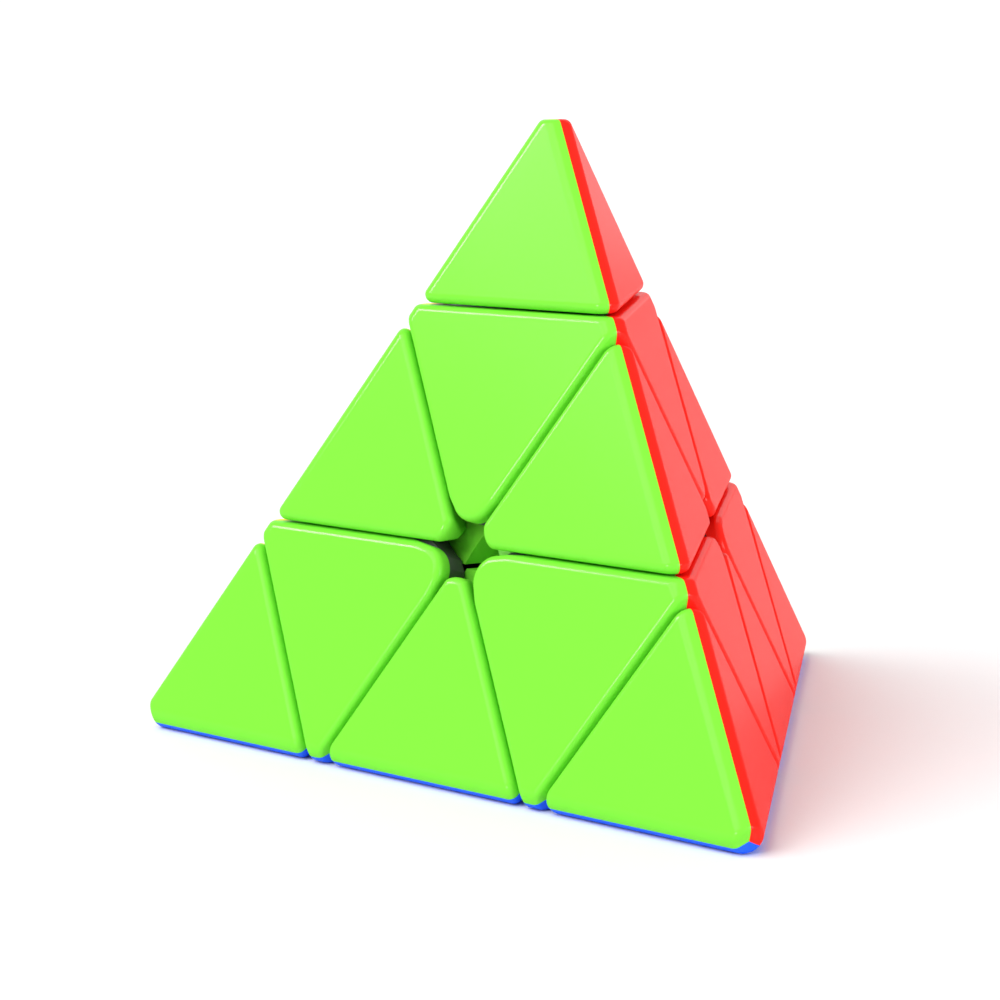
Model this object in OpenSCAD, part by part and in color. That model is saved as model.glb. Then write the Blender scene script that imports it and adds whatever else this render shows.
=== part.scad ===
// Pyramid twisty puzzle: four corner tips, four axials and six edges round a ball core.
// A regular pyramid stands on its blue face with its top corner straight above the origin.
// Every piece is cut from that pyramid by planes square to its four corner axes. Tips and axials
// carry coloured caps on grey bases. An edge is two coloured halves on a grey insert.

/* [Pyramid] */
// Length of the sharp edge that two flat faces would meet in
edge_length = 106; // [80:1:140]
// Gap between neighbouring pieces
gap = 0.4; // [0.2:0.05:0.8]
// Radius that the bevels along the outer ridges stand for
ridge_radius = 2.3; // [0.5:0.1:4]
// Radius that the bevels along the grooves stand for
rim_radius = 1.3; // [0.3:0.1:2]
// Length cut off each sharp corner, along its axis
corner_cut = 5.4; // [2:0.1:9]
// Radius of the piece corners that leave a hole at each face centre
centre_radius = 3.3; // [2:0.1:5]

/* [Coloured caps] */
// Thickness of a coloured cap, and of the walls of the coloured edge halves
cap_wall = 1.6; // [1.2:0.1:2.5]
// Depth of an axial cap along the grooves, from its face
skirt_depth = 2.2; // [2:0.1:3]
// Thickness of the grey walls behind the caps
base_wall = 1.4; // [1:0.1:3]

/* [Core] */
// Inner radius of the track that the edge feet slide in
track_inner = 13; // [12:0.1:14]
// Outer radius of the track
track_outer = 16.5; // [15:0.1:17]
// Running clearance of the feet and the core
play = 0.3; // [0.1:0.05:0.5]
// Distance from the centre to the flanks of an edge foot, along its two layer axes
foot_flank = 4; // [3.6:0.1:6]
// Half the width of the walls that reach down to the foot, across the layer axes
neck_half = 8.5; // [5:0.1:9.5]

/* [Axles] */
// Radius of the hub of an axial
hub_radius = 6.5; // [5:0.1:7]
// Distance from the centre of the puzzle to a hub
hub_start = 11.4; // [11:0.1:12]
// Distance from the centre to the floor that the spring pushes on
spring_floor = 17.5; // [16:0.1:20]
// Distance from the centre to the seat of the screw head
head_seat = 28; // [26:0.1:29]
// Radius of the axle screw
screw_radius = 1.5; // [1:0.1:2]
// Radius of the spring pocket in the hub
pocket_radius = 3.7; // [3:0.1:4.2]
// Radius of the stub that a tip turns on
stub_radius = 4.2; // [3.8:0.1:5]

/* [Hidden] */
$fn = 64;

// The four corners, and the face opposite each one by its colour
TOP = 0;
LEFT = 1;
RIGHT = 2;
BACK = 3;
BLUE = TOP;
RED = LEFT;
YELLOW = RIGHT;
GREEN = BACK;
PAINT = [[0.05, 0.2, 0.9], [0.9, 0.08, 0.05], [1, 0.85, 0], [0.3, 0.9, 0.05]];
GREY = [0.2, 0.2, 0.21];
STEEL = [0.7, 0.7, 0.72];

// Unit directions from the centre to the four corners
SIDEWAYS = sqrt(8) / 3;
AXES = [
    [0, 0, 1],
    for (turn = [210, 330, 90]) [SIDEWAYS * cos(turn), SIDEWAYS * sin(turn), -1 / 3],
];

// Distances from the centre, by the thirds that the pyramid's height is cut into
height = edge_length * sqrt(2 / 3);
face_at = height / 4;
layer_at = height / 12;
tip_at = height * 5 / 12;
corner_at = height * 3 / 4 - corner_cut;

space = 2 * edge_length;
cap_depth = face_at - skirt_depth;
hollow_inset = cap_wall + base_wall;
inside_radius = track_outer + play;
cavity_radius = inside_radius + base_wall;
core_radius = track_inner - play;
core_flat = hub_start - 0.1;
foot_gap = 0.5;
neck_end = (track_inner + track_outer) / 2;
screw_start = 4.5;
screw_hole = screw_radius + 0.25;
head_radius = 2.8;
head_height = 1.6;
recess_width = 0.7;
washer_radius = 3.3;
washer_height = 0.8;
spring_wire = 0.4;
spring_radius = 2.8;
spring_turns = 5;
stub_end = tip_at - 5;
stub_play = 0.1;
socket_radius = stub_radius + stub_play;
socket_floor = stub_end - 0.6;
bead_depth = 0.25;
bead_height = 0.5;
bead_at = stub_end + 1;
tip_floor = 1.8;

function unit(v) = v / norm(v);
function others(list) = [for (k = [0:3]) if (len(search(k, list)) == 0) k];

// A plane is [unit direction, distance from the centre], and a piece lies under its planes
function face(k, inset) = [-AXES[k], face_at - inset];
function over(corner, at, inset) = [-AXES[corner], -at - gap / 2 - inset];
function under(corner, at, inset) = [AXES[corner], at - gap / 2 - inset];

// The bevel that touches the round of a given radius between two planes
function bevel(p, q, radius) =
    let (sum = p[0] + q[0], size = norm(sum))
    [sum / size, (p[1] + q[1] - 2 * radius) / size + radius];

// The planes that bound the part of a piece nearest face k, out of the faces it has
function share(k, sides, walls) = concat(
    [face(k, 0)],
    walls,
    [for (wall = walls) bevel(face(k, 0), wall, rim_radius)],
    [for (j = sides) if (j != k) bevel(face(k, 0), face(j, 0), ridge_radius)],
    [for (j = sides) if (j != k) [unit(AXES[k] - AXES[j]), 0]]
);

// The direction along face k from its centre that leans most towards v
function along_face(v, k) = unit(v - (v * AXES[k]) * AXES[k]);

module pointing(v)
    rotate([0, atan2(norm([v[0], v[1]]), v[2]), atan2(v[1], v[0])])
        children();

// Everything on the near side of a plane
module below(plane)
    pointing(plane[0])
        translate([-space / 2, -space / 2, plane[1] - space])
            cube(space);

module under_all(planes)
    intersection_for (plane = planes)
        below(plane);

// A ball with its pole towards v
module ball(v, radius)
    pointing(v)
        sphere(radius);

// The planes that touch the round corner of a piece at the centre of face k
function centre_corner(v, k, inset) =
    let (m = along_face(v, k), n = cross(AXES[k], m), middle = gap + 2 * centre_radius)
    [
        for (turn = [-30, 0, 30])
            let (out = -m * cos(turn) + n * sin(turn))
            [out, middle * (m * out) + centre_radius - inset]
    ];
function centre_corners(v, sides, inset) = [for (k = sides) each centre_corner(v, k, inset)];

// What lies under the planes of a piece, with its corners at the face centres rounded off
module rounded(planes, v, sides, inset)
    under_all(concat(planes, centre_corners(v, sides, inset)));

// The grey body: up to the grooves below the skirts, and inside the caps above them
module grey_body(v, sides, flush_walls, inner_walls, hollow_walls)
    difference() {
        union() {
            rounded(concat([for (k = sides) face(k, skirt_depth)], flush_walls), v, sides, 0);
            rounded(concat([for (k = sides) face(k, cap_wall)], inner_walls), v, sides, cap_wall);
        }
        ball(v, inside_radius);
        difference() {
            under_all(concat([for (k = sides) face(k, 0)], hollow_walls));
            ball(v, cavity_radius);
        }
    }

// Axials

function axial_top(corner, inset) = under(corner, tip_at, inset);
function axial_bottom(corner, inset) = over(corner, layer_at, inset);
function axial_sides(corner, list, inset) = [for (k = list) under(k, layer_at, inset)];
function axial_walls(corner, inset) = concat(
    [axial_top(corner, inset), axial_bottom(corner, inset)],
    axial_sides(corner, others([corner]), inset)
);

module axial_cap(corner, k) {
    v = AXES[corner];
    sides = others([corner]);
    groove_sides = others([corner, k]);
    outer_walls = concat([axial_top(corner, 0)], axial_sides(corner, groove_sides, 0));
    inner_walls = concat([axial_top(corner, cap_wall)], axial_sides(corner, groove_sides, cap_wall));
    color(PAINT[k])
        difference() {
            rounded(concat(share(k, sides, outer_walls), [[AXES[k], -cap_depth]]), v, [k], 0);
            rounded(concat([face(k, cap_wall)], inner_walls), v, [k], cap_wall);
        }
}

// The bores of a hub in one turned shape: screw hole, spring pocket, and socket with its groove
module hub_bores()
    rotate_extrude()
        polygon([
            [0, 0],
            [screw_hole, 0],
            [screw_hole, spring_floor],
            [pocket_radius, spring_floor],
            [pocket_radius, socket_floor],
            [socket_radius, socket_floor],
            [socket_radius, bead_at - bead_height],
            [socket_radius + bead_depth, bead_at],
            [socket_radius, bead_at + bead_height],
            [socket_radius, tip_at],
            [0, tip_at],
        ]);

module axial_base(corner) {
    v = AXES[corner];
    color(GREY)
        difference() {
            union() {
                grey_body(
                    v,
                    others([corner]),
                    axial_walls(corner, 0),
                    axial_walls(corner, cap_wall),
                    axial_walls(corner, hollow_inset)
                );
                pointing(v)
                    translate([0, 0, hub_start])
                        cylinder(r = hub_radius, h = tip_at - gap / 2 - hub_start);
            }
            pointing(v)
                hub_bores();
        }
}

// Tips

module tip_cap(corner, k) {
    walls = [over(corner, tip_at, 0)];
    color(PAINT[k])
        under_all(concat(
            share(k, others([corner]), walls),
            [[AXES[corner], corner_at], [AXES[k], cap_wall - face_at]]
        ));
}

module tip_base(corner)
    color(GREY) {
        under_all(concat(
            [for (k = others([corner])) face(k, cap_wall)],
            [over(corner, tip_at, 0), [AXES[corner], tip_at + gap / 2 + tip_floor]]
        ));
        pointing(AXES[corner])
            stub();
    }

// The stub that a tip turns on, with the round bead that holds it in its socket
module stub()
    rotate_extrude()
        polygon([
            [0, stub_end],
            [stub_radius, stub_end],
            [stub_radius, bead_at - bead_height],
            [stub_radius + bead_depth, bead_at],
            [stub_radius, bead_at + bead_height],
            [stub_radius, tip_at + gap],
            [0, tip_at + gap],
        ]);

// Edges

function edge_axis(pair) = AXES[pair[0]] + AXES[pair[1]];
function edge_walls(pair, inset) = [for (corner = pair) over(corner, layer_at, inset)];

// The direction across an edge, from its mitre to its half on face k
function to_half(pair, k) = unit(AXES[others(pair)[0] + others(pair)[1] - k] - AXES[k]);

// The middle direction of that half
function half_axis(pair, k) = unit(edge_axis(pair)) + to_half(pair, k);

// What lies inside the coloured halves
module edge_inside(pair) {
    sides = others(pair);
    faces = [for (k = sides) face(k, cap_wall)];
    rounded(concat(faces, edge_walls(pair, cap_wall)), edge_axis(pair), sides, cap_wall);
}

// The half of the foot that slides in the track, under the flanks of the axials beside it
module edge_foot(pair, k) {
    v = half_axis(pair, k);
    difference() {
        intersection() {
            ball(v, track_outer);
            under_all(concat(
                [[-to_half(pair, k), 0]],
                [for (corner = pair) [-AXES[corner], -foot_flank]],
                [for (j = others(pair)) [AXES[j], foot_flank - foot_gap]]
            ));
        }
        ball(v, track_inner);
    }
}

// A coloured half: the outer wall on face k, the groove walls and half of the foot
module edge_half(pair, k) {
    v = half_axis(pair, k);
    color(PAINT[k]) {
        difference() {
            rounded(share(k, others(pair), edge_walls(pair, 0)), edge_axis(pair), [k], 0);
            edge_inside(pair);
            intersection() {
                ball(v, inside_radius);
                below([-to_half(pair, k), -neck_half]);
            }
            ball(v, neck_end);
        }
        edge_foot(pair, k);
    }
}

// The grey insert that the two halves close round
module edge_insert(pair) {
    v = edge_axis(pair);
    sides = others(pair);
    outer_faces = [for (k = sides) face(k, 0)];
    color(GREY)
        difference() {
            edge_inside(pair);
            ball(v, inside_radius);
            difference() {
                under_all(concat(outer_faces, edge_walls(pair, hollow_inset)));
                ball(v, cavity_radius);
            }
        }
}

// Core and axles

module core_ball()
    color(GREY)
        difference() {
            sphere(core_radius);
            for (v = AXES)
                pointing(v) {
                    translate([0, 0, core_flat])
                        cylinder(r = core_radius, h = core_radius);
                    translate([0, 0, screw_start])
                        cylinder(r = screw_radius, h = core_radius);
                }
        }

module axle_screw()
    difference() {
        union() {
            translate([0, 0, screw_start])
                cylinder(r = screw_radius, h = head_seat - screw_start);
            translate([0, 0, head_seat])
                cylinder(r = head_radius, h = head_height);
        }
        for (turn = [0, 90])
            rotate(turn)
                translate([-head_radius * 0.6, -recess_width / 2, head_seat + head_height / 2])
                    cube([head_radius * 1.2, recess_width, head_height]);
    }

module axle_screws()
    color(STEEL)
        for (v = AXES)
            pointing(v)
                axle_screw();

module axle_washers()
    color(STEEL)
        for (v = AXES)
            pointing(v)
                translate([0, 0, head_seat - washer_height])
                    difference() {
                        cylinder(r = washer_radius, h = washer_height);
                        translate([0, 0, -1])
                            cylinder(r = screw_radius, h = washer_height + 2);
                    }

// A coil spring: rings of points round the wire, along the helix from floor to washer
module coil_spring() {
    rings = spring_turns * 14;
    sides = 6;
    low = spring_floor + 0.05 + spring_wire;
    high = head_seat - washer_height - spring_wire;
    points = [
        for (i = [0:rings], j = [0:sides - 1])
            let (
                turn = 360 * spring_turns * i / rings,
                reach = spring_radius + spring_wire * cos(360 * j / sides)
            )
            [
                reach * cos(turn),
                reach * sin(turn),
                low + (high - low) * i / rings + spring_wire * sin(360 * j / sides),
            ]
    ];
    walls = [
        for (i = [0:rings - 1], j = [0:sides - 1])
            let (k = (j + 1) % sides, a = i * sides, b = (i + 1) * sides)
            [a + j, b + j, b + k, a + k]
    ];
    ends = [
        [for (j = [0:sides - 1]) j],
        [for (j = [sides - 1:-1:0]) rings * sides + j],
    ];
    polyhedron(points = points, faces = concat(walls, ends));
}

module axle_springs()
    color(STEEL)
        for (v = AXES)
            pointing(v)
                coil_spring();

core_ball();
axle_screws();
axle_washers();
axle_springs();
axial_base(TOP);  // top_axial_base
axial_cap(TOP, GREEN);  // top_axial_green_cap
axial_cap(TOP, RED);  // top_axial_red_cap
axial_cap(TOP, YELLOW);  // top_axial_yellow_cap
axial_base(LEFT);  // left_axial_base
axial_cap(LEFT, GREEN);  // left_axial_green_cap
axial_cap(LEFT, YELLOW);  // left_axial_yellow_cap
axial_cap(LEFT, BLUE);  // left_axial_blue_cap
axial_base(RIGHT);  // right_axial_base
axial_cap(RIGHT, GREEN);  // right_axial_green_cap
axial_cap(RIGHT, RED);  // right_axial_red_cap
axial_cap(RIGHT, BLUE);  // right_axial_blue_cap
axial_base(BACK);  // back_axial_base
axial_cap(BACK, RED);  // back_axial_red_cap
axial_cap(BACK, YELLOW);  // back_axial_yellow_cap
axial_cap(BACK, BLUE);  // back_axial_blue_cap
tip_base(TOP);  // top_tip_base
tip_cap(TOP, GREEN);  // top_tip_green_cap
tip_cap(TOP, RED);  // top_tip_red_cap
tip_cap(TOP, YELLOW);  // top_tip_yellow_cap
tip_base(LEFT);  // left_tip_base
tip_cap(LEFT, GREEN);  // left_tip_green_cap
tip_cap(LEFT, YELLOW);  // left_tip_yellow_cap
tip_cap(LEFT, BLUE);  // left_tip_blue_cap
tip_base(RIGHT);  // right_tip_base
tip_cap(RIGHT, GREEN);  // right_tip_green_cap
tip_cap(RIGHT, RED);  // right_tip_red_cap
tip_cap(RIGHT, BLUE);  // right_tip_blue_cap
tip_base(BACK);  // back_tip_base
tip_cap(BACK, RED);  // back_tip_red_cap
tip_cap(BACK, YELLOW);  // back_tip_yellow_cap
tip_cap(BACK, BLUE);  // back_tip_blue_cap
edge_insert([TOP, LEFT]);  // top_left_edge_insert
edge_half([TOP, LEFT], GREEN);  // top_left_edge_green_half
edge_half([TOP, LEFT], YELLOW);  // top_left_edge_yellow_half
edge_insert([TOP, RIGHT]);  // top_right_edge_insert
edge_half([TOP, RIGHT], GREEN);  // top_right_edge_green_half
edge_half([TOP, RIGHT], RED);  // top_right_edge_red_half
edge_insert([TOP, BACK]);  // top_back_edge_insert
edge_half([TOP, BACK], RED);  // top_back_edge_red_half
edge_half([TOP, BACK], YELLOW);  // top_back_edge_yellow_half
edge_insert([LEFT, RIGHT]);  // left_right_edge_insert
edge_half([LEFT, RIGHT], GREEN);  // left_right_edge_green_half
edge_half([LEFT, RIGHT], BLUE);  // left_right_edge_blue_half
edge_insert([LEFT, BACK]);  // left_back_edge_insert
edge_half([LEFT, BACK], YELLOW);  // left_back_edge_yellow_half
edge_half([LEFT, BACK], BLUE);  // left_back_edge_blue_half
edge_insert([RIGHT, BACK]);  // right_back_edge_insert
edge_half([RIGHT, BACK], RED);  // right_back_edge_red_half
edge_half([RIGHT, BACK], BLUE);  // right_back_edge_blue_half
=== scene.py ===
import itertools
import math

import bmesh
import bpy
import numpy as np
from mathutils import Matrix, Vector


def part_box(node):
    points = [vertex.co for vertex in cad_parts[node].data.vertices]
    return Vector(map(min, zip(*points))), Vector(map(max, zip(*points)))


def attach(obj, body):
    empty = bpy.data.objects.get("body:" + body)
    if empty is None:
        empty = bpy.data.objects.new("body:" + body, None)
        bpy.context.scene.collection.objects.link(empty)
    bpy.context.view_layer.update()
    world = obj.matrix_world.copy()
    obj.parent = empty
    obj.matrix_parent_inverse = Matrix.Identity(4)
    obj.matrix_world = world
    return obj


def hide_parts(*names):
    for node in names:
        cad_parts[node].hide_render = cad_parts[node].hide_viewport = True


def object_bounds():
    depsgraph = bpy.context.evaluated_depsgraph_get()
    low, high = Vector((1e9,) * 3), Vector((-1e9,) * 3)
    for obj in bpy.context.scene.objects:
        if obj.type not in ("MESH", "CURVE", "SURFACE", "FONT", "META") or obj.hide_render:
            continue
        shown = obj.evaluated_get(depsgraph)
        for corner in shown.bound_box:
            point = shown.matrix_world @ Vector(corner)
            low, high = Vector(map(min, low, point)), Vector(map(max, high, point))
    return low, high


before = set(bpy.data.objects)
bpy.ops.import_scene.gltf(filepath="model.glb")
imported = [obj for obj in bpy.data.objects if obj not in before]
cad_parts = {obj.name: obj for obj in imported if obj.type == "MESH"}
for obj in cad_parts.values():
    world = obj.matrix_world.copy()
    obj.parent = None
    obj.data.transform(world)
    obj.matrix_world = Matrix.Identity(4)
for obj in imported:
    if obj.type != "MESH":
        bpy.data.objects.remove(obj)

CAD_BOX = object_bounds()
MM = 0.001

# The four corners of the pyramid, and the face opposite each one by its colour.
CORNERS = ("top", "left", "right", "back")
COLOURS = ("blue", "red", "yellow", "green")
SIDEWAYS = math.sqrt(8) / 3
AXES = np.array([
    [0, 0, 1],
    *(
        [SIDEWAYS * math.cos(turn), SIDEWAYS * math.sin(turn), -1 / 3]
        for turn in map(math.radians, (210, 330, 90))
    ),
])

# Distances from the centre in millimetres, from the frame: the blue face stands on the floor, and
# the height of the sharp pyramid, four times the centre's height, is cut into thirds.
FLOOR = CAD_BOX[0][2]
FACE_AT = -FLOOR / MM
LAYER_AT = FACE_AT / 3
TIP_AT = FACE_AT * 5 / 3
CORNER_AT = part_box("top_tip_green_cap")[1].z / MM
EDGE_LENGTH = 4 * FACE_AT * math.sqrt(3 / 2)

# The shape of the coloured shells, in millimetres and degrees.
GAP = 0.25  # between neighbouring pieces
RIM_RADIUS = 1.05  # of the rounds along the grooves
RIDGE_RADIUS = 2.3  # of the rounds between two faces of the pyramid
CENTRE_RADIUS = 3.3  # of the piece corners round the hole at each face's centre
CENTRE_TURN = {"axial": 50, "edge": 60}  # how far those corners turn to either side
WALL = 1.6
CAP_DEPTH = 2.2  # from the face to the lower rim of a tip's or an axial's cap
TIP_FLOOR = 2  # height of the room for a tip's grey base
TRACK_OUTER = 16.5  # the track round the core that the edge feet slide in
TRACK_INNER = 13
INSIDE_RADIUS = 16.8  # of the round room above the track, beside an edge's neck
NECK_HALF = 8.5  # half the width of that neck
FOOT_FLANK = 4  # from the centre to the flanks of a foot
FOOT_GAP = 0.5  # between two feet

# How finely rounds are stepped, and what counts as flat or as one point.
ARC_STEPS = 10
ROUND_STEPS = 8
BALL_SEGMENTS = 96
SHORT_TURN = math.radians(16)
SHARP_TURN = math.radians(35)
SAME_POINT = 1e-4
INSIDE_SLACK = SAME_POINT / 10
SAME_WAY = 1e-7


def unit(v):
    """The direction of v, with length 1."""
    return v / np.linalg.norm(v)


def slerp(a, b, t):
    """The direction a share t of the way round from a to b."""
    turn = math.acos(np.clip(a @ b, -1, 1))
    if turn < SAME_WAY:
        return a
    return (math.sin((1 - t) * turn) * a + math.sin(t * turn) * b) / math.sin(turn)


# A plane is (unit direction, distance from the centre), and a piece lies under its planes.


def face(k):
    """Face k of the pyramid."""
    return -AXES[k], FACE_AT


def over(corner, at):
    """The wall of a piece beyond the groove square to the corner's axis, at that distance."""
    return -AXES[corner], -at - GAP / 2


def under(corner, at):
    """The wall of a piece on the near side of that groove."""
    return AXES[corner], at - GAP / 2


def arc(p, q, radius):
    """The planes between p and q that touch a round of that radius in the corner of the two."""
    rows = np.array([p[0], q[0]])
    centre = np.linalg.lstsq(rows, np.array([p[1], q[1]]) - radius, rcond=None)[0]
    turns = (slerp(p[0], q[0], i / ARC_STEPS) for i in range(1, ARC_STEPS))
    return [(n, n @ centre + radius) for n in turns]


def centre_arc(kind, own, k):
    """The planes round the corner of a piece at the centre of face k, square to that face."""
    towards = AXES[list(own)].sum(axis=0)
    along = unit(towards - (towards @ AXES[k]) * AXES[k])
    across = np.cross(AXES[k], along)
    centre = along * (GAP + 2 * CENTRE_RADIUS)
    widest = math.radians(CENTRE_TURN[kind])
    turns = (widest * (2 * i / ARC_STEPS - 1) for i in range(ARC_STEPS + 1))
    outs = (across * math.sin(t) - along * math.cos(t) for t in turns)
    return [(n, n @ centre + CENTRE_RADIUS) for n in outs]


class Polytope:
    """The convex body under a list of planes: its corners, and each face's corners in order."""

    def __init__(self, planes):
        self.normals = np.array([p[0] for p in planes])
        heights = np.array([p[1] for p in planes])
        triples = np.array(list(itertools.combinations(range(len(planes)), 3)))
        systems = self.normals[triples]
        solvable = np.abs(np.linalg.det(systems)) > SAME_WAY
        wanted = heights[triples][solvable][..., None]
        points = np.linalg.solve(systems[solvable], wanted)[..., 0]
        points = points[(points @ self.normals.T <= heights + INSIDE_SLACK).all(axis=1)]
        self.corners = []
        for point in points:
            if all(np.linalg.norm(point - c) > SAME_POINT for c in self.corners):
                self.corners.append(point)
        self.faces = {}
        for i, normal in enumerate(self.normals):
            on = [v for v, c in enumerate(self.corners) if abs(c @ normal - heights[i]) < SAME_POINT]
            if len(on) > 2:
                self.faces[i] = self.around(normal, on, [self.corners[v] for v in on])

    @staticmethod
    def around(normal, names, points):
        """The names in order of turn about the normal."""
        middle = np.mean(points, axis=0)
        first = unit(points[0] - middle)
        second = np.cross(normal, first)
        turns = [math.atan2((p - middle) @ second, (p - middle) @ first) for p in points]
        return [names[i] for i in np.argsort(turns)]

    def mesh(self):
        """The plain body as a bmesh."""
        return make_mesh(self.corners, self.faces.values())

    def rounded(self, radius):
        """The body swollen by a ball of that radius, as a bmesh."""
        points, keys, polygons = [], {}, []

        def point(v, i, j=None, step=0, steps=1):
            """Corner v pushed out along face i's direction, turned part of the way to face j's."""
            if step in (0, steps):
                i, j, step = (i if step == 0 else j), None, 0
            elif i > j:
                i, j, step = j, i, steps - step
            key = (v, i, j, step)
            if key not in keys:
                way = self.normals[i]
                if j is not None:
                    way = slerp(way, self.normals[j], step / steps)
                keys[key] = len(points)
                points.append(self.corners[v] + radius * way)
            return keys[key]

        def steps_between(i, j):
            turn = math.acos(np.clip(self.normals[i] @ self.normals[j], -1, 1))
            return 1 if turn < SHORT_TURN else ROUND_STEPS

        sides = {}
        for i, loop in self.faces.items():
            polygons.append([point(v, i) for v in loop])
            for a, b in zip(loop, loop[1:] + loop[:1]):
                sides.setdefault((min(a, b), max(a, b)), []).append(i)
        neighbours = {}
        for (a, b), pair in sides.items():
            i, j = pair
            steps = steps_between(i, j)
            for s in range(steps):
                low, high = (i, j, s, steps), (i, j, s + 1, steps)
                polygons.append([point(a, *low), point(b, *low), point(b, *high), point(a, *high)])
            for v in (a, b):
                neighbours.setdefault(v, []).append(pair)
        for v, pairs in neighbours.items():
            ring = list(pairs[0])
            left = pairs[1:]
            while len(left) > 1:
                step = next(p for p in left if ring[-1] in p)
                left.remove(step)
                ring.append(step[0] if step[1] == ring[-1] else step[1])
            self.patch(v, ring, point, steps_between, points, polygons, radius)
        return make_mesh(points, polygons)

    def patch(self, v, ring, point, steps_between, points, polygons, radius):
        """The piece of a ball that closes the gap at corner v between the faces of the ring."""
        joins = list(zip(ring, ring[1:] + ring[:1]))
        long_joins = [join for join in joins if steps_between(*join) > 1]
        if not long_joins:
            polygons.append([point(v, i) for i in ring])
            return
        apexes = [i for i in ring if all(i in join for join in long_joins)]
        if len(long_joins) == 2 and apexes:
            start = ring.index(apexes[0])
            chain = ring[start + 1:] + ring[:start]
            for a, b in zip(chain, chain[1:]):
                for s in range(ROUND_STEPS):
                    low, high = (s, ROUND_STEPS), (s + 1, ROUND_STEPS)
                    polygons.append([
                        point(v, a, apexes[0], *low), point(v, b, apexes[0], *low),
                        point(v, b, apexes[0], *high), point(v, a, apexes[0], *high),
                    ])
            return
        rim = []
        for i, j in joins:
            steps = steps_between(i, j)
            rim += [point(v, i, j, s, steps) for s in range(steps)]
        ways = [(points[i] - self.corners[v]) / radius for i in rim]
        middle = unit(np.mean(ways, axis=0))
        rings = ROUND_STEPS // 2
        outer = rim
        for r in range(1, rings):
            inner = []
            for way in ways:
                inner.append(len(points))
                points.append(self.corners[v] + radius * slerp(way, middle, r / rings))
            for a in range(len(rim)):
                b = (a + 1) % len(rim)
                polygons.append([outer[a], outer[b], inner[b], inner[a]])
            outer = inner
        points.append(self.corners[v] + radius * middle)
        for a in range(len(rim)):
            polygons.append([outer[a], outer[(a + 1) % len(rim)], len(points) - 1])


def make_mesh(points, polygons):
    """A closed bmesh of these polygons, with every face turned outwards."""
    bm = bmesh.new()
    verts = [bm.verts.new(p) for p in points]
    for polygon in polygons:
        corners = list(dict.fromkeys(polygon))
        if len(corners) > 2:
            bm.faces.new([verts[i] for i in corners])
    bmesh.ops.remove_doubles(bm, verts=bm.verts, dist=SAME_POINT)
    bmesh.ops.recalc_face_normals(bm, faces=bm.faces)
    return bm


def cut(bm, plane):
    """Cuts away what is over the plane, and closes the cut with one flat face."""
    geom = bm.verts[:] + bm.edges[:] + bm.faces[:]
    made = bmesh.ops.bisect_plane(
        bm, geom=geom, dist=SAME_POINT, plane_co=Vector(plane[0] * plane[1]),
        plane_no=Vector(plane[0]), clear_outer=True,
    )
    loop = [e for e in made["geom_cut"] if isinstance(e, bmesh.types.BMEdge)]
    bmesh.ops.contextual_create(bm, geom=[e for e in loop if e.is_boundary])
    bmesh.ops.recalc_face_normals(bm, faces=bm.faces)


def others(*without):
    """The corners, or the faces opposite them, that are not named."""
    return [k for k in range(4) if k not in without]


def faces_and_ridges(sides):
    """The faces of a piece with the rounds along the ridges between them."""
    planes = [face(k) for k in sides]
    for j, k in itertools.combinations(sides, 2):
        planes += arc(face(j), face(k), RIDGE_RADIUS)
    return planes


def walls(kind, own, sides):
    """The walls of a piece along its grooves, and its inner walls."""
    if kind == "tip":
        return [over(own[0], TIP_AT)]
    if kind == "edge":
        return [over(corner, LAYER_AT) for corner in own]
    return [under(own[0], TIP_AT), over(own[0], LAYER_AT), *(under(k, LAYER_AT) for k in sides)]


def outside(kind, own, k, sides):
    """The planes of a whole piece, with its round corner at the centre of face k."""
    planes = faces_and_ridges(sides) + walls(kind, own, sides)
    if kind == "tip":
        return planes + [(AXES[own[0]], CORNER_AT)]
    return planes + centre_arc(kind, own, k)


def inset(planes, depth):
    """The planes moved inwards."""
    return [(n, d - depth) for n, d in planes]


def inside(kind, own, corners, sides):
    """The planes of the room for the grey inner body, behind the shells on the given faces."""
    planes = [face(k) for k in corners] + walls(kind, own, sides)
    for k in corners:
        planes += centre_arc(kind, own, k)
    return inset(planes, WALL)


def to_object(bm, name):
    """A new object with the bmesh as its mesh."""
    mesh = bpy.data.meshes.new(name)
    bm.to_mesh(mesh)
    bm.free()
    made = bpy.data.objects.new(name, mesh)
    bpy.context.scene.collection.objects.link(made)
    return made


def combine(bm, operation, tool):
    """The first bmesh with the second taken out of it or joined to it."""
    body, knife = to_object(bm, "body"), to_object(tool, "knife")
    modifier = body.modifiers.new("combine", "BOOLEAN")
    modifier.operation = operation
    modifier.solver = "EXACT"
    modifier.object = knife
    depsgraph = bpy.context.evaluated_depsgraph_get()
    result = bmesh.new()
    result.from_object(body, depsgraph)
    for made in (body, knife):
        mesh = made.data
        bpy.data.objects.remove(made)
        bpy.data.meshes.remove(mesh)
    return result


def ball(radius):
    """A ball round the centre of the puzzle."""
    bm = bmesh.new()
    bmesh.ops.create_uvsphere(bm, u_segments=BALL_SEGMENTS, v_segments=BALL_SEGMENTS // 2, radius=radius)
    return bm


def edge_foot(own, k, j):
    """Half of the foot that keeps an edge in the track round the core."""
    bm = ball(TRACK_OUTER)
    cut(bm, (unit(AXES[k] - AXES[j]), 0))
    for corner in own:
        cut(bm, (-AXES[corner], -FOOT_FLANK))
    for side in (k, j):
        cut(bm, (AXES[side], FOOT_FLANK - FOOT_GAP))
    return combine(bm, "DIFFERENCE", ball(TRACK_INNER))


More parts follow.
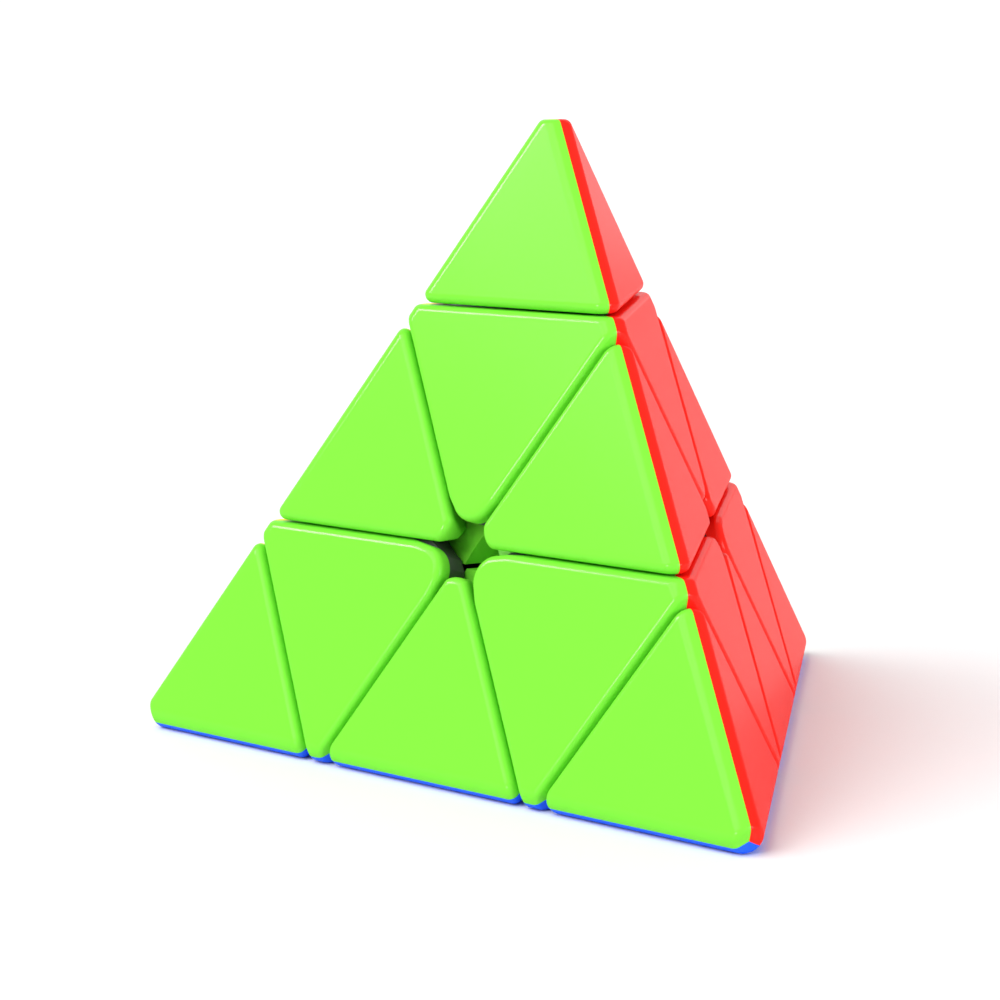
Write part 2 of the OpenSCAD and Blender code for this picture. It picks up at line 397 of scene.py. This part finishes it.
def shell(kind, own, k):
    """The coloured shell of one piece on face k, as a bmesh in millimetres."""
    sides = others(*own)
    bm = Polytope(inset(outside(kind, own, k, sides), RIM_RADIUS)).rounded(RIM_RADIUS)
    if kind != "edge":
        cut(bm, (AXES[k], CAP_DEPTH - FACE_AT))
    for j in sides:
        if j != k:
            cut(bm, (unit(AXES[k] - AXES[j]), 0))
    if kind == "tip":
        floor = [over(own[0], TIP_AT - WALL), (AXES[own[0]], TIP_AT + TIP_FLOOR)]
        room = inset([face(side) for side in sides], WALL) + floor
        bm = combine(bm, "DIFFERENCE", Polytope(room).mesh())
    if kind == "axial":
        bm = combine(bm, "DIFFERENCE", Polytope(inside(kind, own, [k], sides)).mesh())
    if kind == "edge":
        j = next(side for side in sides if side != k)
        bm = combine(bm, "DIFFERENCE", Polytope(inside(kind, own, sides, sides)).mesh())
        beyond_neck = ball(INSIDE_RADIUS)
        cut(beyond_neck, (unit(AXES[k] - AXES[j]), -NECK_HALF))
        bm = combine(bm, "DIFFERENCE", beyond_neck)
        bm = combine(bm, "DIFFERENCE", ball(TRACK_INNER))
        bm = combine(bm, "UNION", edge_foot(own, k, j))
    return bm


def place(master, name, from_pair, to_pair, material, body):
    """A copy of a master shell, turned so that one pair of axes comes to lie on another."""
    before, after = (
        np.array([AXES[a], AXES[b], np.cross(AXES[a], AXES[b])]).T
        for a, b in (from_pair, to_pair)
    )
    turn = after @ np.linalg.inv(before)
    mesh = master.copy()
    mesh.name = name
    mesh.transform(Matrix(turn * MM).to_4x4())
    mesh.materials.append(material)
    piece = bpy.data.objects.new(name, mesh)
    bpy.context.scene.collection.objects.link(piece)
    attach(piece, body)
    return piece


def finish_mesh(bm, name):
    """A mesh with smooth rounds, flat faces and crisp cuts."""
    for f in bm.faces:
        f.smooth = True
    for e in bm.edges:
        e.smooth = e.is_manifold and e.calc_face_angle(0) < SHARP_TURN
    mesh = bpy.data.meshes.new(name)
    bm.to_mesh(mesh)
    bm.free()
    return mesh


# Materials


def new_material(name):
    """A material with its nodes and links."""
    made = bpy.data.materials.new(name)
    made.use_nodes = True
    return made, made.node_tree.nodes, made.node_tree.links


def add_noise(nodes, links, scale, detail=2):
    """Noise fixed to the object, and its value."""
    where = nodes.new("ShaderNodeTexCoord")
    noise = nodes.new("ShaderNodeTexNoise")
    noise.inputs["Scale"].default_value = scale
    noise.inputs["Detail"].default_value = detail
    links.new(where.outputs["Object"], noise.inputs["Vector"])
    return noise.outputs["Fac"]


def vary_colour(nodes, links, value, dark, light):
    """The base colour, mixed from dark to light by the value."""
    shade = nodes.new("ShaderNodeMixRGB")
    shade.inputs["Color1"].default_value = (*dark, 1)
    shade.inputs["Color2"].default_value = (*light, 1)
    links.new(value, shade.inputs["Fac"])
    links.new(shade.outputs["Color"], nodes["Principled BSDF"].inputs["Base Color"])


def vary_roughness(nodes, links, value, low, high):
    """The roughness, from low to high by the value."""
    rough = nodes.new("ShaderNodeMapRange")
    rough.inputs["To Min"].default_value = low
    rough.inputs["To Max"].default_value = high
    links.new(value, rough.inputs["Value"])
    links.new(rough.outputs["Result"], nodes["Principled BSDF"].inputs["Roughness"])


CLOUD_SCALE = 60
CLOUD_DETAIL = 3
CLOUD_SHADE = 0.985
CLOUD_ROUGHNESS = 0.03
SKIN_SCALE = 2600
SKIN_DEPTH = 0.02 * MM
COAT_WEIGHT = 0.28
COAT_ROUGHNESS = 0.15
MARKS_SCALE = 900


def plastic(name, colour, roughness, grain):
    """Moulded plastic: an even colour with a faint cloudiness, and a very fine skin."""
    made, nodes, links = new_material(name)
    shader = nodes["Principled BSDF"]
    cloud = add_noise(nodes, links, CLOUD_SCALE, CLOUD_DETAIL)
    vary_colour(nodes, links, cloud, [c * CLOUD_SHADE for c in colour], colour)
    vary_roughness(nodes, links, cloud, roughness - CLOUD_ROUGHNESS, roughness + CLOUD_ROUGHNESS)
    bump = nodes.new("ShaderNodeBump")
    bump.inputs["Strength"].default_value = grain
    bump.inputs["Distance"].default_value = SKIN_DEPTH
    links.new(add_noise(nodes, links, SKIN_SCALE), bump.inputs["Height"])
    links.new(bump.outputs["Normal"], shader.inputs["Normal"])
    links.new(bump.outputs["Normal"], shader.inputs["Coat Normal"])
    shader.inputs["Specular IOR Level"].default_value = 0
    shader.inputs["Coat Weight"].default_value = COAT_WEIGHT
    shader.inputs["Coat Roughness"].default_value = COAT_ROUGHNESS
    return made


def steel(name):
    """Plated steel with fine, uneven marks."""
    made, nodes, links = new_material(name)
    nodes["Principled BSDF"].inputs["Metallic"].default_value = 1
    marks = add_noise(nodes, links, MARKS_SCALE)
    vary_colour(nodes, links, marks, (0.42, 0.42, 0.44), (0.6, 0.6, 0.62))
    vary_roughness(nodes, links, marks, 0.25, 0.4)
    return made


FACE_COLOURS = {
    "green": (0.195, 0.75, 0.045),
    "red": (0.97, 0.018, 0.01),
    "yellow": (0.98, 0.75, 0.02),
    "blue": (0.02, 0.13, 0.95),
}
PAINT = {
    name: plastic(name + "_plastic", colour, roughness=0.3, grain=0.1)
    for name, colour in FACE_COLOURS.items()
}
GREY = plastic("grey_plastic", (0.11, 0.11, 0.112), roughness=0.45, grain=0.3)
STEEL = steel("steel")


# The coloured shells: one master of each kind, turned into each of its twelve places.

TOP, LEFT, RIGHT, BACK = range(4)
GREEN = BACK
MASTERS = {
    "tip": finish_mesh(shell("tip", (TOP,), GREEN), "tip_shell"),
    "axial": finish_mesh(shell("axial", (TOP,), GREEN), "axial_shell"),
    "edge": finish_mesh(shell("edge", (TOP, LEFT), GREEN), "edge_shell"),
}


def add_shell(kind, own, k, from_pair, to_pair):
    body = "_".join([*(CORNERS[c] for c in own), kind])
    colour = COLOURS[k]
    name = f"{body}_{colour}"
    piece = place(
        MASTERS[kind], name + "_shell", from_pair, to_pair, PAINT[colour], body
    )
    weigh = piece.modifiers.new("rounds", "WEIGHTED_NORMAL")
    weigh.keep_sharp = True
    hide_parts(name + ("_half" if kind == "edge" else "_cap"))


for corner, k in itertools.permutations(range(4), 2):
    for kind in ("tip", "axial"):
        add_shell(kind, (corner,), k, (TOP, GREEN), (corner, k))
for k, j in itertools.permutations(range(4), 2):
    add_shell("edge", tuple(others(k, j)), k, (GREEN, RIGHT), (k, j))
for mesh in MASTERS.values():
    bpy.data.meshes.remove(mesh)

for name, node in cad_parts.items():
    if node.hide_render:
        continue
    node.data.materials.clear()
    node.data.materials.append(STEEL if name.startswith("axle") else GREY)


# Floor, light and camera

FLOOR_SIZE = 60 * EDGE_LENGTH * MM
FLOOR_WHITE = (0.9, 0.9, 0.9, 1)
FLOOR_ROUGHNESS = 0.9

# The sky turns from the horizon's brightness to its own between these heights, as slopes.
HORIZON_LOW = 0.03
HORIZON_HIGH = 0.12

# The camera's angles in degrees, its lens and sensor in millimetres, and its distance and the
# place that it aims at, beside and above the centre, in edge lengths.
VIEW_AZIMUTH = 39.58
VIEW_ELEVATION = 10.213
VIEW_ROLL = -1.067
LENS = 94.99
SENSOR = 36
DISTANCE = 3.26795
AIM_SIDE = -0.07406
AIM_UP = 0.09671


def add_floor():
    """A plain white floor that runs out to the horizon."""
    bm = bmesh.new()
    bmesh.ops.create_grid(bm, x_segments=8, y_segments=8, size=FLOOR_SIZE / 2)
    floor = to_object(bm, "floor")
    floor.location.z = FLOOR
    made, nodes, links = new_material("floor_paint")
    nodes["Principled BSDF"].inputs["Base Color"].default_value = FLOOR_WHITE
    nodes["Principled BSDF"].inputs["Roughness"].default_value = FLOOR_ROUGHNESS
    floor.data.materials.append(made)


def add_sun(name, azimuth, elevation, spread, strength, gloss_only=False):
    """A soft light from far away. Azimuth 0 is in front of the green face, and angles are in degrees."""
    light = bpy.data.lights.new(name, "SUN")
    light.angle = math.radians(spread)
    light.energy = strength
    lamp = bpy.data.objects.new(name, light)
    a, e = math.radians(azimuth), math.radians(elevation)
    way = Vector((math.sin(a) * math.cos(e), -math.cos(a) * math.cos(e), math.sin(e)))
    lamp.rotation_euler = way.to_track_quat("Z", "Y").to_euler()
    lamp.visible_diffuse = not gloss_only
    bpy.context.scene.collection.objects.link(lamp)


def add_sky(strength, horizon):
    """An even white sky, with a brighter band along the horizon that the floor runs out into."""
    world = bpy.data.worlds.new("studio")
    world.use_nodes = True
    nodes, links = world.node_tree.nodes, world.node_tree.links
    where = nodes.new("ShaderNodeTexCoord")
    split = nodes.new("ShaderNodeSeparateXYZ")
    fade = nodes.new("ShaderNodeMapRange")
    fade.inputs["From Min"].default_value = HORIZON_LOW
    fade.inputs["From Max"].default_value = HORIZON_HIGH
    fade.inputs["To Min"].default_value = horizon
    fade.inputs["To Max"].default_value = strength
    links.new(where.outputs["Generated"], split.inputs["Vector"])
    links.new(split.outputs["Z"], fade.inputs["Value"])
    links.new(fade.outputs["Result"], nodes["Background"].inputs["Strength"])
    nodes["Background"].inputs["Color"].default_value = (1, 1, 1, 1)
    bpy.context.scene.world = world


def add_camera():
    """A long lens in front of the green and red faces, a little above the centre."""
    azimuth, elevation, roll = map(math.radians, (VIEW_AZIMUTH, VIEW_ELEVATION, VIEW_ROLL))
    unit_length = EDGE_LENGTH * MM
    ahead = Vector((
        -math.sin(azimuth) * math.cos(elevation),
        math.cos(azimuth) * math.cos(elevation),
        -math.sin(elevation),
    ))
    side = ahead.cross(Vector((0, 0, 1))).normalized()
    up = side.cross(ahead)
    aim = (side * AIM_SIDE + up * AIM_UP) * unit_length
    camera_data = bpy.data.cameras.new("camera")
    camera_data.sensor_width = SENSOR
    camera_data.lens = LENS
    camera_data.clip_start = 0.01
    camera = bpy.data.objects.new("camera", camera_data)
    bpy.context.scene.collection.objects.link(camera)
    across = side * math.cos(roll) + up * math.sin(roll)
    upright = up * math.cos(roll) - side * math.sin(roll)
    turned = Matrix((across, upright, -ahead)).transposed().to_4x4()
    camera.matrix_world = Matrix.Translation(aim - ahead * DISTANCE * unit_length) @ turned
    bpy.context.scene.camera = camera


add_floor()
add_sky(0.42, 1.05)
add_sun("key", -26, 47, 55, 2.7)
add_sun("fill", 85, 9, 30, 1.8)
add_sun("back_fill", -135, 20, 60, 0.7)
add_sun("left_glint", -59, 32, 22, 3.3, gloss_only=True)
add_sun("front_glint", 3, 4, 10, 1.2, gloss_only=True)
add_camera()
bpy.context.scene.view_settings.view_transform = "Standard"
